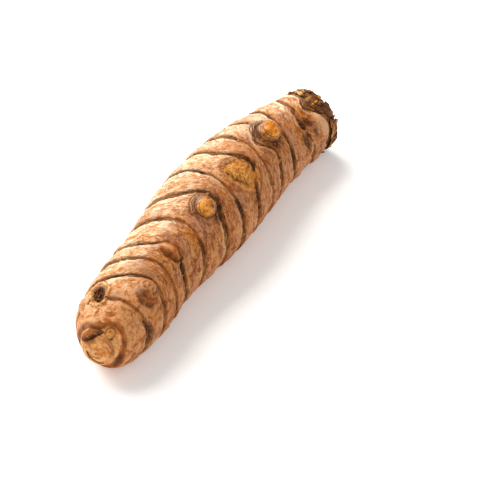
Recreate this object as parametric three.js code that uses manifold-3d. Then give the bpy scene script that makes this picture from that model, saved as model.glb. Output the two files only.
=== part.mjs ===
// One fresh turmeric finger lying on a flat surface. Millimetres, +Z up, +X from the blunt growing tip to the
// broken end. It is one body: its skin is stepped at each leaf scar ring, buds stand out of it, and the scars of
// shed side shoots are sunk in it.

import * as THREE from "three";
import { mergeVertices } from "three/addons/utils/BufferGeometryUtils.js";
import Module from "manifold-3d";

// Driving dimensions. Lengths along the finger are measured from the face of the tip.
const LENGTH = 97.6;
const MIDDLE = 48.55;
const SIDE_SHIFT = -1.7;
const SKIN_COLOUR = "#c08a5c";

// Radius of the finger at stations along it.
const GIRTH = [
  [2.6, 4.9],
  [3.6, 5.7],
  [5.4, 6.9],
  [7.6, 7.8],
  [10.5, 8.3],
  [14, 8.75],
  [20, 9.0],
  [27, 8.8],
  [35, 9.35],
  [42, 10.0],
  [49, 10.65],
  [56, 10.6],
  [64, 10.2],
  [72.5, 9.45],
  [81, 8.8],
  [89, 8.1],
  [LENGTH, 7.25],
];

// The section's slow swell: share of the radius, and how far along the finger it takes to turn by a radian.
const OVAL = { share: 0.022, turn: 21 };
const LOBES = { share: 0.012, turn: 13 };

// Sideways bow of the finger's centre line, towards +Y.
const BOW = [
  [0, -1.8],
  [4, -1.2],
  [10, -0.5],
  [22, 0.3],
  [35, 0.9],
  [55, 1.4],
  [74, 1.9],
  [86, 1.2],
  [LENGTH, -0.5],
];

// Height of the centre line, which lets the underside meet the surface near the tip, the middle and the end.
const RISE = [
  [0, 8.15],
  [6, 8.3],
  [16, 8.5],
  [28, 9.2],
  [42, 9.95],
  [52, 10.2],
  [64, 10.15],
  [76, 9.3],
  [88, 7.8],
  [LENGTH, 6.95],
];

// The stub that ends the tip: distance along the finger and radius, out to the groove round its foot.
const STUB = [
  [0.12, 1.3],
  [0.4, 2.4],
  [0.95, 3.3],
  [1.8, 3.8],
  [2.7, 3.95],
  [3.0, 4.2],
];
const SHOULDER_START = 2.6;
const SHOULDER_ROWS = 4;

// Leaf scar rings: distance along the finger on top, on the +Y side, underneath and on the -Y side, and then
// where the ring swerves round a bud: angle from the top, how far it moves and over how many degrees.
const RINGS = [
  { top: 9.2, left: 5.4, under: 9.0, right: 11.3 },
  { top: 15.9, left: 11.0, under: 15.1, right: 17.6, swerve: [-35, 1.6, 28] },
  { top: 21.5, left: 18.0, under: 20.9, right: 22.8, swerve: [-24, 1.1, 27] },
  { top: 26.6, left: 24.2, under: 25.8, right: 27.1, swerve: [-26, 2.9, 24] },
  { top: 35.7, left: 29.5, under: 32.2, right: 34.5 },
  { top: 42.4, left: 38.8, under: 41.4, right: 43.0, swerve: [-20, 3.7, 28] },
  { top: 50.9, left: 47.8, under: 48.5, right: 49.2 },
  { top: 57.6, left: 57.4, under: 56.8, right: 55.5, swerve: [-31, 4.8, 29] },
  { top: 65.9, left: 63.7, under: 63.4, right: 62.6 },
  { top: 74.0, left: 69.8, under: 68.5, right: 67.5, swerve: [-19, -5.3, 19] },
  { top: 79.1, left: 82.2, under: 79.1, right: 74.9 },
  { top: 86.7, left: 91.7, under: 88.3, right: 84.4, swerve: [-38, -1.1, 25] },
  { top: 93.5, left: 95.9, under: 93.9, right: 91.7, swerve: [-25, -3.5, 26] },
];
const STEP_HEIGHT = 0.5;
const STEP_WIDTH = 0.9;
const INTERNODE_BULGE = 0.35;
const INTERNODE_ROWS = [0, 0.22, 0.5, 0.8];

// The broken end: a blunt cap beyond the last ring, its face a little aslant so that the -Y side is shorter.
const CAP_ROWS = 7;
const CRUST_ROWS = 2;
const CAP_SQUARENESS = 3.4;
const CAP_ROUGHNESS = 0.45;
const CRUST_HEIGHT = 0.3;
const FACE_SLANT = 1.8;
const FACE_TURN = 20;

// Buds that stand out of the skin: place along the finger, angle from the top towards +Y, radius of the collar
// where it leaves the skin, the knob's share of that radius, height, and how far it leans towards the tip.
const BUDS = [
  { at: 16.2, angle: -34, radius: 3.0, knob: 0.92, height: 1.6, lean: 0.2 },
  { at: 42.8, angle: -25, radius: 3.4, knob: 0.68, height: 2.4, lean: 0.1 },
  { at: 72.9, angle: -19, radius: 3.5, knob: 0.8, height: 2.6, lean: 0.1 },
  { at: 24.2, angle: 122, radius: 2.6, knob: 0.9, height: 1.4, lean: 0.2 },
  { at: 46.6, angle: 108, radius: 3.0, knob: 0.74, height: 2.2, lean: 0.1 },
  { at: 83.5, angle: 104, radius: 3.0, knob: 0.8, height: 1.9, lean: 0.1 },
];
const BUD_SIDES = 14;
const BUD_ROOT = 2.5;

// Soft swellings of the skin over buds that haven't broken through it: half sizes along and round, and height.
const SWELLINGS = [
  { at: 28.0, angle: -29, along: 2.2, round: 3.2, height: 1.1 },
  { at: 87.6, angle: -62, along: 4.0, round: 5.0, height: 1.5 },
  { at: 36.0, angle: 150, along: 3.2, round: 4.0, height: 0.8 },
];

// Broad shallow scars where side shoots broke off: half sizes along and round the finger, and depth.
const SCARS = [
  { at: 56.0, angle: -30, along: 3.4, round: 4.7, depth: 0.3 },
  { at: 66.8, angle: 128, along: 3.0, round: 4.0, depth: 0.5 },
];
const SCAR_RIM = { height: 0.3, width: 0.3 };

// Shares of the half size at which a scar's floor and a swelling's top begin to slope, and where the slope ends.
const FLOOR_EDGE = { inner: 0.5, outer: 1.1 };
const SWELLING_EDGE = { inner: 0.25, outer: 1.25 };

// Small round pits with a raised rim, where thin shoots and roots came out.
const PITS = [
  { at: 9.4, angle: 20, radius: 2.3, depth: 1.1 },
  { at: 81.6, angle: -67, radius: 1.8, depth: 0.6 },
];
const PIT_RIM = 0.35;
const PIT_SIDES = 12;

const COLUMNS = 48;
const FLOOR_DEPTH = 6;

// A smooth curve through [place, value] stations, read at any place.
function through(stations) {
  const last = stations.length - 1;
  const slope = (i) => {
    const a = stations[Math.max(i - 1, 0)];
    const b = stations[Math.min(i + 1, last)];
    return (b[1] - a[1]) / (b[0] - a[0]);
  };
  return (place) => {
    let i = 0;
    while (i < last - 1 && place > stations[i + 1][0]) i += 1;
    const [x0, y0] = stations[i];
    const [x1, y1] = stations[i + 1];
    const span = x1 - x0;
    const t = THREE.MathUtils.clamp((place - x0) / span, 0, 1);
    const rise = y1 - y0;
    const start = slope(i) * span - rise;
    const end = rise - slope(i + 1) * span;
    return y0 + rise * t + t * (1 - t) * ((1 - t) * start + t * end);
  };
}

const girthAt = through(GIRTH);
const bowAt = through(BOW);
const riseAt = through(RISE);
const radians = THREE.MathUtils.degToRad;

// The shortest turn from one angle to another, in radians.
function turnBetween(a, b) {
  return Math.atan2(Math.sin(a - b), Math.cos(a - b));
}

// Where a ring crosses the angle: four quarter points joined by two harmonics, and its swerve.
function ringAt(ring, angle) {
  const mean = (ring.top + ring.left + ring.under + ring.right) / 4;
  const lengthwise = (ring.top - ring.under) / 2;
  const sideways = (ring.left - ring.right) / 2;
  const saddle = (ring.top + ring.under - ring.left - ring.right) / 4;
  const [centre, shift, spread] = ring.swerve ?? [0, 0, 1];
  const away = turnBetween(angle, radians(centre)) / radians(spread);
  return (
    mean +
    lengthwise * Math.cos(angle) +
    sideways * Math.sin(angle) +
    saddle * Math.cos(2 * angle) +
    shift * Math.exp(-away * away)
  );
}

// The finger isn't quite round: its section swells and turns slowly along it.
function sectionAt(place, angle) {
  const oval = OVAL.share * Math.cos(2 * angle - place / OVAL.turn);
  const lobed = LOBES.share * Math.cos(3 * angle + place / LOBES.turn);
  return 1 + oval + lobed;
}

// How far a place lies from the middle of a patch of skin, with 1 on the patch's edge.
function reachFrom(patch, place, angle) {
  const round = turnBetween(angle, radians(patch.angle)) * girthAt(patch.at);
  return Math.hypot((place - patch.at) / patch.along, round / patch.round);
}

// How far the broad scars move the skin: a raised rim round a sunk floor.
function scarRelief(place, angle) {
  let relief = 0;
  for (const scar of SCARS) {
    const reach = reachFrom(scar, place, angle);
    const rim = SCAR_RIM.height * Math.exp(-(((reach - 1) / SCAR_RIM.width) ** 2));
    const floor = scar.depth * (1 - THREE.MathUtils.smoothstep(reach, FLOOR_EDGE.inner, FLOOR_EDGE.outer));
    relief += rim - floor;
  }
  return relief;
}

// How far the swellings lift the skin.
function swellingRelief(place, angle) {
  let relief = 0;
  for (const swelling of SWELLINGS) {
    const reach = reachFrom(swelling, place, angle);
    const slope = THREE.MathUtils.smoothstep(reach, SWELLING_EDGE.inner, SWELLING_EDGE.outer);
    relief += swelling.height * (1 - slope);
  }
  return relief;
}

// The point of the skin at a place along the finger, an angle from the top and a distance from the centre line.
function skinPoint(place, angle, radius) {
  const side = radius * Math.sin(angle);
  const up = radius * Math.cos(angle);
  return new THREE.Vector3(place - MIDDLE, bowAt(place) + SIDE_SHIFT + side, riseAt(place) + up);
}

// Each row gives, for an angle, the place along the finger and the radius there.
function stubRows() {
  return STUB.map(([place, radius]) => () => [place, radius]);
}

// From the stub's groove over the shoulder to the foot of the first ring's step.
function shoulderRows() {
  const rows = [];
  for (let i = 0; i <= SHOULDER_ROWS; i += 1) {
    const share = i / SHOULDER_ROWS;
    const level = (-STEP_HEIGHT / 2) * share;
    rows.push((angle) => {
      const end = ringAt(RINGS[0], angle) - STEP_WIDTH;
      const place = THREE.MathUtils.lerp(SHOULDER_START, end, share);
      return [place, girthAt(place) * sectionAt(place, angle) + level];
    });
  }
  return rows;
}

// From one ring to the next: the step up on to the internode, its gentle swell, and the foot of the next step.
function internodeRows(ring, next) {
  const row = (share, level) => (angle) => {
    const start = ringAt(ring, angle);
    const end = ringAt(next, angle) - STEP_WIDTH;
    const place = THREE.MathUtils.lerp(start, end, share);
    const swell = INTERNODE_BULGE * Math.sin(Math.PI * share);
    return [place, girthAt(place) * sectionAt(place, angle) + swell + level];
  };
  const rows = INTERNODE_ROWS.map((share) => row(share, STEP_HEIGHT * (0.5 - share)));
  rows.push(row(1, -STEP_HEIGHT / 2));
  return rows;
}

// A repeatable number from -1 to 1 for each pair of whole numbers. Its multipliers are arbitrary.
function jitter(a, b) {
  const wave = Math.sin(a * 12.9898 + b * 78.233) * 43758.5453;
  return 2 * (wave - Math.floor(wave)) - 1;
}

// The broken end: a crust of leaf bases stands proud behind the last ring, and the face beyond it is rough.
function capRows() {
  const last = RINGS[RINGS.length - 1];
  const rows = [];
  for (let i = 0; i < CAP_ROWS; i += 1) {
    const sweep = (i / CAP_ROWS) * (Math.PI / 2);
    const crusty = i > 0 && i <= CRUST_ROWS;
    rows.push((angle) => {
      const start = ringAt(last, angle);
      const out = Math.sin(sweep) ** (2 / CAP_SQUARENESS);
      const inward = Math.cos(sweep) ** (2 / CAP_SQUARENESS);
      const rough = CAP_ROUGHNESS * jitter(i, Math.round((angle * COLUMNS) / (2 * Math.PI)));
      const rim = girthAt(start) * sectionAt(start, angle) + STEP_HEIGHT / 2 + (crusty ? CRUST_HEIGHT : 0);
      const end = LENGTH - (FACE_SLANT / 2) * (1 - inward * Math.sin(angle + radians(FACE_TURN)));
      const place = THREE.MathUtils.lerp(start, end, out) - (i > CRUST_ROWS ? Math.abs(rough) : 0);
      return [place, rim * inward + (i > CRUST_ROWS ? 0 : rough)];
    });
  }
  return rows;
}

// The whole skin as one closed mesh: rows of points round the finger between a pole at each end.
function skinGeometry() {
  const rows = [...stubRows(), ...shoulderRows()];
  for (let i = 0; i < RINGS.length - 1; i += 1) rows.push(...internodeRows(RINGS[i], RINGS[i + 1]));
  rows.push(...capRows());

  const points = [skinPoint(0, 0, 0)];
  rows.forEach((row) => {
    for (let column = 0; column < COLUMNS; column += 1) {
      const angle = (column / COLUMNS) * 2 * Math.PI;
      const [place, radius] = row(angle);
      const relief = scarRelief(place, angle) + swellingRelief(place, angle);
      points.push(skinPoint(place, angle, radius + relief));
    }
  });
  points.push(skinPoint(LENGTH - FACE_SLANT / 2, 0, 0));

  const index = [];
  const cell = (row, column) => 1 + row * COLUMNS + (column % COLUMNS);
  const farPole = points.length - 1;
  for (let column = 0; column < COLUMNS; column += 1) {
    index.push(0, cell(0, column), cell(0, column + 1));
    index.push(farPole, cell(rows.length - 1, column + 1), cell(rows.length - 1, column));
  }
  for (let row = 0; row < rows.length - 1; row += 1) {
    for (let column = 0; column < COLUMNS; column += 1) {
      const near = [cell(row, column), cell(row, column + 1)];
      const far = [cell(row + 1, column), cell(row + 1, column + 1)];
      index.push(near[0], far[0], far[1], near[0], far[1], near[1]);
    }
  }
  return new THREE.BufferGeometry().setFromPoints(points).setIndex(index);
}

// A turned shape set on the skin, its axis pointing outward with a lean towards the tip.
function turnedOnSkin(profile, sides, { at, angle, lean = 0 }) {
  const turned = new THREE.LatheGeometry(
    profile.map(([x, y]) => new THREE.Vector2(x, y)),
    sides,
  );
  const around = radians(angle);
  const outward = new THREE.Vector3(-lean, Math.sin(around), Math.cos(around)).normalize();
  const turn = new THREE.Quaternion().setFromUnitVectors(new THREE.Vector3(0, 1, 0), outward);
  const place = skinPoint(at, around, girthAt(at) * sectionAt(at, around));
  return turned.applyQuaternion(turn).translate(place.x, place.y, place.z);
}

// A bud: a collar low on the skin, a crease inside it, and a rounded knob, rooted well below the skin.
function budGeometry(bud) {
  const { radius, height } = bud;
  const knob = radius * bud.knob;
  const profile = [
    [0, -BUD_ROOT],
    [radius, -BUD_ROOT],
    [radius, 0.1],
    [(radius + knob) / 2, 0.45],
    [knob * 1.02, 0.3],
    [knob, height * 0.45],
    [knob * 0.8, height * 0.8],
    [knob * 0.42, height * 0.97],
    [0, height],
  ];
  return turnedOnSkin(profile, BUD_SIDES, bud);
}

// A pit's rim, a low swelling with a level top, and the cup that is cut in its middle.
function pitRimGeometry(pit) {
  const { radius } = pit;
  const profile = [
    [0, -BUD_ROOT],
    [radius, -BUD_ROOT],
    [radius, -PIT_RIM],
    [radius * 0.86, PIT_RIM * 0.8],
    [radius * 0.68, PIT_RIM],
    [0, PIT_RIM],
  ];
  return turnedOnSkin(profile, PIT_SIDES, pit);
}

function pitCupGeometry(pit) {
  const { radius, depth } = pit;
  const profile = [
    [0, -depth],
    [radius * 0.4, -depth],
    [radius * 0.55, -depth * 0.5],
    [radius * 0.66, PIT_RIM + 0.01],
    [radius * 0.66, 2 * radius],
    [0, 2 * radius],
  ];
  return turnedOnSkin(profile, PIT_SIDES, pit);
}

const wasm = await Module();
wasm.setup();

function toSolid(geometry) {
  geometry.deleteAttribute("normal");
  geometry.deleteAttribute("uv");
  const merged = mergeVertices(geometry, 1e-4);
  return new wasm.Manifold(
    new wasm.Mesh({
      numProp: 3,
      vertProperties: merged.attributes.position.array,
      triVerts: new Uint32Array(merged.index.array),
    }),
  );
}

function toGeometry(solid) {
  const mesh = solid.getMesh();
  const geometry = new THREE.BufferGeometry();
  geometry.setAttribute("position", new THREE.BufferAttribute(mesh.vertProperties, 3));
  geometry.setIndex(new THREE.BufferAttribute(mesh.triVerts, 1));
  geometry.computeVertexNormals();
  return geometry;
}

// The flats on which the finger rests are where its underside would sink below the surface.
function floorBlock() {
  const block = new THREE.BoxGeometry(2 * LENGTH, LENGTH, FLOOR_DEPTH);
  return toSolid(block.translate(0, 0, -FLOOR_DEPTH / 2));
}

let finger = toSolid(skinGeometry());
for (const bud of BUDS) finger = finger.add(toSolid(budGeometry(bud)));
for (const pit of PITS) {
  finger = finger.add(toSolid(pitRimGeometry(pit))).subtract(toSolid(pitCupGeometry(pit)));
}
finger = finger.subtract(floorBlock());

const skin = new THREE.MeshStandardMaterial({ color: SKIN_COLOUR, roughness: 0.7, metalness: 0 });
const turmeric = new THREE.Mesh(toGeometry(finger), skin);
turmeric.name = "turmeric_root";

const part = new THREE.Group();
part.add(turmeric);

export default part;
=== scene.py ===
import math

import bpy
import numpy as np
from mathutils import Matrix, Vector


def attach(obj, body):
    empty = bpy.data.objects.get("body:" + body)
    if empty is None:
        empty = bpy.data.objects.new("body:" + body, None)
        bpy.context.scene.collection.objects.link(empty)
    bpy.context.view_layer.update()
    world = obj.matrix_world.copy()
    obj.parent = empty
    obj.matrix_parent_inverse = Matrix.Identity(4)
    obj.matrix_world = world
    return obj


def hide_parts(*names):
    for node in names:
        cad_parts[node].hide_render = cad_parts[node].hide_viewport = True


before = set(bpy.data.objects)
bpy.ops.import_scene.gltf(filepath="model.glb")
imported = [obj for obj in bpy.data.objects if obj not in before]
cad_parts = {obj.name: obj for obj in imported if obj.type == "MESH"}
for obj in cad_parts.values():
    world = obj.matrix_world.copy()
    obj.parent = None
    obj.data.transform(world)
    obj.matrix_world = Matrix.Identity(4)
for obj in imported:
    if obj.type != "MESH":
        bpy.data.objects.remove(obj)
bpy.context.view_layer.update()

# Shapes are worked out in millimetres and turned into metres when a mesh is made.
MM = 0.001
SEED = 23

# The root's length, and where its middle and centre line lie in the frame.
LENGTH = 97.6
MIDDLE = 48.55
SIDE_SHIFT = -1.7

# Radius of the root at stations along it, sideways bow of its centre line, and height of that line.
GIRTH = [
    (2.6, 4.9), (3.6, 5.7), (5.4, 6.9), (7.6, 7.8), (10.5, 8.3), (14, 8.75), (20, 9.0), (27, 8.8),
    (35, 9.35), (42, 10.0), (49, 10.65), (56, 10.6), (64, 10.2), (72.5, 9.45), (81, 8.8),
    (89, 8.1), (LENGTH, 7.25),
]
BOW = [
    (0, -1.8), (4, -1.2), (10, -0.5), (22, 0.3), (35, 0.9), (55, 1.4), (74, 1.9), (86, 1.2),
    (LENGTH, -0.5),
]
RISE = [
    (0, 8.15), (6, 8.3), (16, 8.5), (28, 9.2), (42, 9.95), (52, 10.2), (64, 10.15), (76, 9.3),
    (88, 7.8), (LENGTH, 6.95),
]
OVAL_SHARE, OVAL_TURN = 0.022, 21
LOBE_SHARE, LOBE_TURN = 0.012, 13

# The stub that ends the tip: distance along the root and radius, from its face to its foot.
STUB = [
    (0.0, 0.0), (0.05, 0.9), (0.12, 1.7), (0.4, 2.6), (0.9, 3.4), (1.5, 3.85), (2.1, 4.1),
    (2.5, 4.25), (2.72, 4.36),
]
SHOULDER_START = 2.72

# Where the shoulder's skin ends round the stub's foot: angle from the top and place.
COLLAR = [
    (-180, 2.9), (-125, 2.9), (-106, 3.0), (-86, 3.5), (-59, 4.5), (-46, 4.9), (-30, 4.8),
    (-20, 4.2), (-10, 3.3), (8, 2.9), (90, 2.9), (180, 2.9),
]
COLLAR_STEP = 0.3
STUB_FOOT_RADIUS = 4.36
STUB_FOOT_SPREAD = 0.8

# How far the shoulder draws in behind the stub, at which angle and over how many degrees.
TIP_TUCK = 0.6
TUCK_ANGLE = 130
TUCK_SPREAD = 60

# Leaf scar rings: distance along the root on top, on the +Y side, underneath and on the -Y side,
# then where the ring swerves round a bud: angle from the top, how far it moves and over how many
# degrees.
RINGS = [
    (9.2, 5.4, 9.0, 11.3, None),
    (15.9, 11.0, 15.1, 17.6, (-35, 1.6, 28)),
    (21.5, 18.0, 20.9, 22.8, (-24, 1.1, 27)),
    (26.6, 24.2, 25.8, 27.1, (-26, 2.9, 24)),
    (35.7, 29.5, 32.2, 34.5, None),
    (42.4, 38.8, 41.4, 43.0, (-20, 3.7, 28)),
    (50.9, 47.8, 48.5, 49.2, None),
    (57.6, 57.4, 56.8, 55.5, (-31, 4.8, 29)),
    (65.9, 63.7, 63.4, 62.6, None),
    (74.0, 69.8, 68.5, 67.5, (-19, -5.3, 19)),
    (79.1, 82.2, 79.1, 74.9, None),
    (86.7, 91.7, 88.3, 84.4, (-38, -1.1, 25)),
    (93.5, 95.9, 93.9, 91.7, (-25, -3.5, 26)),
]
STEP_HEIGHT = 0.55
INTERNODE_BULGE = 0.3

# Width of the dark strip below each ring, at angles from the top. Where it is thin, only an orange
# line is left. Below the list are its depth and how far from its ring it can lie.
STRIPS = [
    [(-180, 0.7), (-90, 0.7), (-62, 0.5), (-54, 0.2), (-20, 0.2), (-12, 0.4), (6, 0.6), (18, 0.3),
     (42, 0.5), (120, 0.4)],
    [(-180, 0.8), (-75, 0.6), (-50, 0.3), (-25, 0.4), (-8, 0.5), (18, 0.45), (36, 0.9), (60, 1.2),
     (110, 0.7)],
    [(-180, 0.5), (-80, 0.3), (-10, 0.2), (-2, 0.4), (7, 0.8), (18, 0.6), (30, 0.8), (50, 1.1),
     (100, 0.8)],
    [(-180, 0.9), (-80, 1.0), (-60, 0.9), (-48, 0.5), (-30, 0.25), (-12, 0.35), (18, 0.45),
     (26, 1.3), (45, 1.1), (90, 0.9)],
    [(-180, 0.9), (-70, 1.0), (-50, 0.35), (-38, 0.2), (-7, 0.16), (-3, 0.7), (4, 1.0), (40, 1.1),
     (60, 1.2), (120, 0.7)],
    [(-180, 0.8), (-62, 0.9), (-45, 0.5), (-25, 0.7), (-10, 0.45), (6, 0.8), (20, 0.9), (27, 1.5),
     (50, 1.5), (100, 1.0)],
    [(-180, 0.8), (-90, 0.8), (-68, 0.9), (-55, 0.4), (-30, 0.28), (-8, 0.45), (10, 0.5),
     (24, 0.4), (43, 0.9), (80, 1.0)],
    [(-180, 0.7), (-72, 0.7), (-60, 0.3), (-40, 0.2), (-34, 0.5), (-8, 0.7), (12, 0.8), (20, 0.4),
     (30, 1.0), (70, 0.9)],
    [(-180, 0.9), (-70, 0.6), (-50, 0.3), (-8, 0.22), (5, 0.5), (14, 0.9), (24, 1.5), (45, 1.9),
     (80, 1.2)],
    [(-180, 1.0), (-85, 0.8), (-52, 0.4), (-40, 0.6), (-28, 1.0), (-10, 0.7), (4, 0.3), (14, 1.0),
     (40, 1.7), (80, 1.2)],
    [(-180, 0.6), (-95, 0.9), (-60, 0.4), (-34, 0.45), (-24, 0.22), (-10, 0.35), (0, 0.6),
     (14, 0.35), (40, 0.8), (80, 1.0)],
    [(-180, 0.8), (-65, 0.7), (-45, 0.5), (-36, 1.1), (-26, 0.3), (-6, 0.3), (6, 0.9), (25, 1.1),
     (50, 1.2), (90, 0.8)],
    [(-180, 1.2), (-70, 1.5), (-42, 0.8), (-20, 1.5), (-4, 1.1), (8, 1.4), (40, 1.2), (90, 1.1)],
]
STRIP_DEPTH = 0.12
STRIP_REACH = 4

# The broken end: a blunt cap past the last ring, whose face is a little aslant.
CAP_SQUARENESS = 3.4
FACE_SLANT = 1.8
FACE_TURN = 20

# Round buds with a knob of their own: place, angle, collar radius, knob's share of it, height, lean
# to the tip, then the side on which scales are wrapped round it and the side of the crevice, as
# directions on the skin, 0 towards the far end and 90 towards +Y, and how orange the knob is.
KNOBS = [
    ("bud_middle", 42.6, -28, 3.4, 0.68, 2.6, 0.6, 110, -40, 0.7),
    ("bud_far", 72.9, -22, 3.6, 0.70, 2.8, -0.05, 80, -150, 1.0),
    ("bud_back_near", 24.2, 122, 2.6, 0.90, 1.4, 0.2, 90, -90, 0.4),
    ("bud_back_middle", 46.6, 108, 3.0, 0.74, 2.2, 0.1, -60, 120, 0.7),
    ("bud_back_far", 83.5, 104, 3.0, 0.80, 1.9, 0.1, -90, 170, 0.3),
]

# Shoot scars and pits: place, angle, half length, half width, turn, depth, then for pits how dark
# the middle is and how yellow the rim.
SCARS = [(56.8, -34, 4.3, 5.7, 20, 0.22), (66.8, 128, 3.0, 4.0, 0, 0.5)]
PITS = [
    (9.4, 21, 2.6, 1.8, 22, 1.1, 1.0, 1.0), (82.0, -69, 1.75, 2.4, 0, 0.5, 0.75, 0.3),
    (6.5, 46, 1.5, 0.9, 30, 0.35, 0.35, 0.3),
]

# The snail-like bud that the skin covers: place and angle, radius, height, the middle of its spiral
# and the spiral's layers to a millimetre.
DOME_AT = (15.5, -38)
DOME_RADIUS = 2.9
DOME_HEIGHT = 1.5
DOME_MIDDLE = (0.4, 0.6)
DOME_LAYERS = 1.05

# The flat covered bud: place, angle and turn, half its width and length, height.
WEDGE_AT = (28.1, -31, 18)
WEDGE_HALF_WIDTH = 1.75
WEDGE_HALF_LENGTH = 2.9
WEDGE_HEIGHT = 0.95

# Soft bulges: place, angle, half length, half width and height.
BULGES = [(88.2, -58, 3.6, 4.6, 1.6), (36.0, 150, 3.2, 4.0, 0.8)]

# The small root disc on the shoulder: place, angle, radius, and the shoulder's radius there.
DISC_AT, DISC_ANGLE = 3.5, -33
DISC_RADIUS = 0.95
DISC_SHOULDER = 5.2

# Marks on the stub's face, across and up from its middle: the ring and its radius, the curl and its
# radius, the dot in it and the rusty spot.
STUB_RING, STUB_RING_RADIUS = (-1.3, 0.9), 2.75
STUB_CURL, STUB_CURL_RADIUS = (-0.8, 0.5), 0.95
STUB_DOT = (-0.75, 0.62)
STUB_RUST = (0.3, 2.4)
STUB_MARK_DEPTH = 0.12

# Patches of colour: place, angle, half length, half width, turn and strength. The crusty ones are
# dark spots away from the strips. PAINTED_HIGHLIGHTS are cream painted highlights.
RUST = [
    (13.5, -68, 1.3, 3.0, 0, 0.8), (81.2, -46, 1.0, 2.4, 10, 0.9), (86.2, -10, 1.3, 2.4, 0, 1.0),
    (85.4, -27, 0.9, 2.0, 0, 1.0), (35.3, -44, 0.7, 3.4, 0, 0.95), (5.0, 58, 1.6, 2.0, 0, 0.6),
    (62.0, 2, 2.2, 3.2, 0, 0.5), (90.2, 12, 1.8, 2.4, 0, 0.6), (47.0, 12, 1.5, 3.0, 10, 0.45),
    (70, -45, 1.2, 3.0, 0, 0.4), (40, 140, 2.4, 3.5, 20, 0.7), (75, 95, 2.0, 3.5, 0, 0.6),
    (18, -130, 2.0, 4.0, 0, 0.6), (60, -140, 2.2, 4.0, 0, 0.6),
]
MAUVE = [
    (67.8, -15, 1.5, 2.6, 0, 0.9), (10.6, 2, 1.0, 2.6, 0, 0.6), (19.3, -18, 1.6, 3.2, 0, 0.6),
    (31.0, -30, 2.2, 3.4, 0, 0.5), (38.2, -32, 2.0, 3.4, 0, 0.7), (85.6, -55, 0.7, 1.4, 0, 0.8),
    (51.0, -48, 2.4, 3.2, 0, 0.5), (77.0, -45, 2.0, 3.0, 0, 0.5), (46, 170, 3.0, 4.0, 0, 0.7),
    (28, 90, 2.4, 3.6, 0, 0.6),
]
PAINTED_HIGHLIGHTS = [(88.7, -50, 1.6, 3.4, 0, 1.0), (14.0, -26, 0.8, 1.0, 0, 0.8), (91.5, 20, 1.2, 2.4, 0, 0.8)]
CRUST = [
    (85.0, -43, 0.8, 1.5, 0, 1.0), (85.3, -63, 0.4, 1.3, 0, 0.9), (91.2, -18, 1.3, 1.8, 0, 0.8),
    (86.6, -31, 0.5, 1.5, 0, 0.5), (11.6, -88, 1.1, 3.2, 0, 0.8),
]

# Dark remains of roots in the strips: ring number, angle, half length, half width and strength.
DARK = [
    (1, -78, 0.5, 2.8, 0.9), (4, -66, 0.7, 2.8, 1.0), (5, -59, 0.6, 2.4, 0.9),
    (6, -57, 0.8, 2.6, 0.95), (6, -36, 0.6, 1.6, 0.8), (7, -60, 0.7, 2.6, 0.95),
    (8, -70, 0.6, 2.6, 0.9), (10, -62, 0.5, 2.4, 0.7), (11, -72, 0.5, 2.4, 0.8),
    (12, -44, 0.7, 1.2, 1.0), (12, -16, 0.6, 1.4, 0.7), (13, -22, 0.7, 1.5, 1.0),
    (7, 4, 0.3, 0.6, 1.0), (8, 128, 0.6, 2.2, 0.8), (5, 175, 0.7, 2.6, 0.8),
    (2, 45, 0.6, 1.8, 0.9), (8, -31, 0.45, 3.0, 1.0),
]

# The skin's grid: rows between the tip and the last ring, fewest between two rings, columns, rows of
# the stub and of the cap, and the cap's rough depth and radius, by which its rows are spread.
SKIN_GRID_ROWS = 352
FEWEST_ROWS = 14
COLUMNS = 224
STUB_ROWS = 24
CAP_ROWS = 42
CAP_DEPTH, CAP_RADIUS = 5, 8

# A knob's grid: rows of its hidden foot and of the knob, columns, and how deep the foot goes.
KNOB_FOOT_ROWS = 6
KNOB_ROWS = 46
KNOB_COLUMNS = 80
KNOB_FOOT_DEPTH = 1.6

# Values at each point of the skin that its material reads.
MASKS = (
    "along", "strip", "line", "shadow", "edge", "crown", "face", "scar", "pit", "rim", "bud",
    "rust", "mauve", "dark", "stub", "pale",
)
LENGTHWISE = (1.0, 0.0, 0.0)

# Flakes, fibres and crown scales: points along each, how many, and the crown's layers as the lowest
# and highest share of the cap and how many scales lie there.
FLAKE_POINTS, FIBRE_POINTS, CROWN_POINTS = 6, 9, 8
FLAKE_HALF_THICKNESS = 0.035
FLAKES_PER_RING = 13
LOOSE_FLAKES = 150
FIBRES_PER_STRIP = 26
FIBRES_PER_REMAIN = 9
LOOSE_HAIRS = 26
CROWN_LAYERS = [(-0.15, 0.12, 34), (0.12, 0.45, 40), (0.45, 0.88, 46)]


def through(stations, at):
    """A smooth curve through (place, value) stations, read at an array of places."""
    xs, ys = np.array(stations, float).T
    last = len(xs) - 1
    before = np.maximum(np.arange(last + 1) - 1, 0)
    after = np.minimum(np.arange(last + 1) + 1, last)
    slope = (ys[after] - ys[before]) / (xs[after] - xs[before])
    at = np.asarray(at, float)
    i = np.clip(np.searchsorted(xs, at) - 1, 0, last - 1)
    span = xs[i + 1] - xs[i]
    t = np.clip((at - xs[i]) / span, 0, 1)
    rise = ys[i + 1] - ys[i]
    start = slope[i] * span - rise
    end = rise - slope[i + 1] * span
    return ys[i] + rise * t + t * (1 - t) * ((1 - t) * start + t * end)


def smoothstep(low, high, value):
    t = np.clip((value - low) / (high - low), 0, 1)
    return t * t * (3 - 2 * t)


def mix(a, b, share):
    return a + (b - a) * share


def bell(value, width):
    return np.exp(-((value / width) ** 2))


def mark(masks, name, value):
    """Raises a mask to the value where it is lower."""
    masks[name] = np.maximum(masks[name], value)


def turn_between(a, b):
    """The shortest turn from one angle to another, in radians."""
    return np.arctan2(np.sin(a - b), np.cos(a - b))


def from_angle(angle, degrees):
    """The turn to an angle from so many degrees off the top, in radians."""
    return turn_between(angle, math.radians(degrees))


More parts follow.
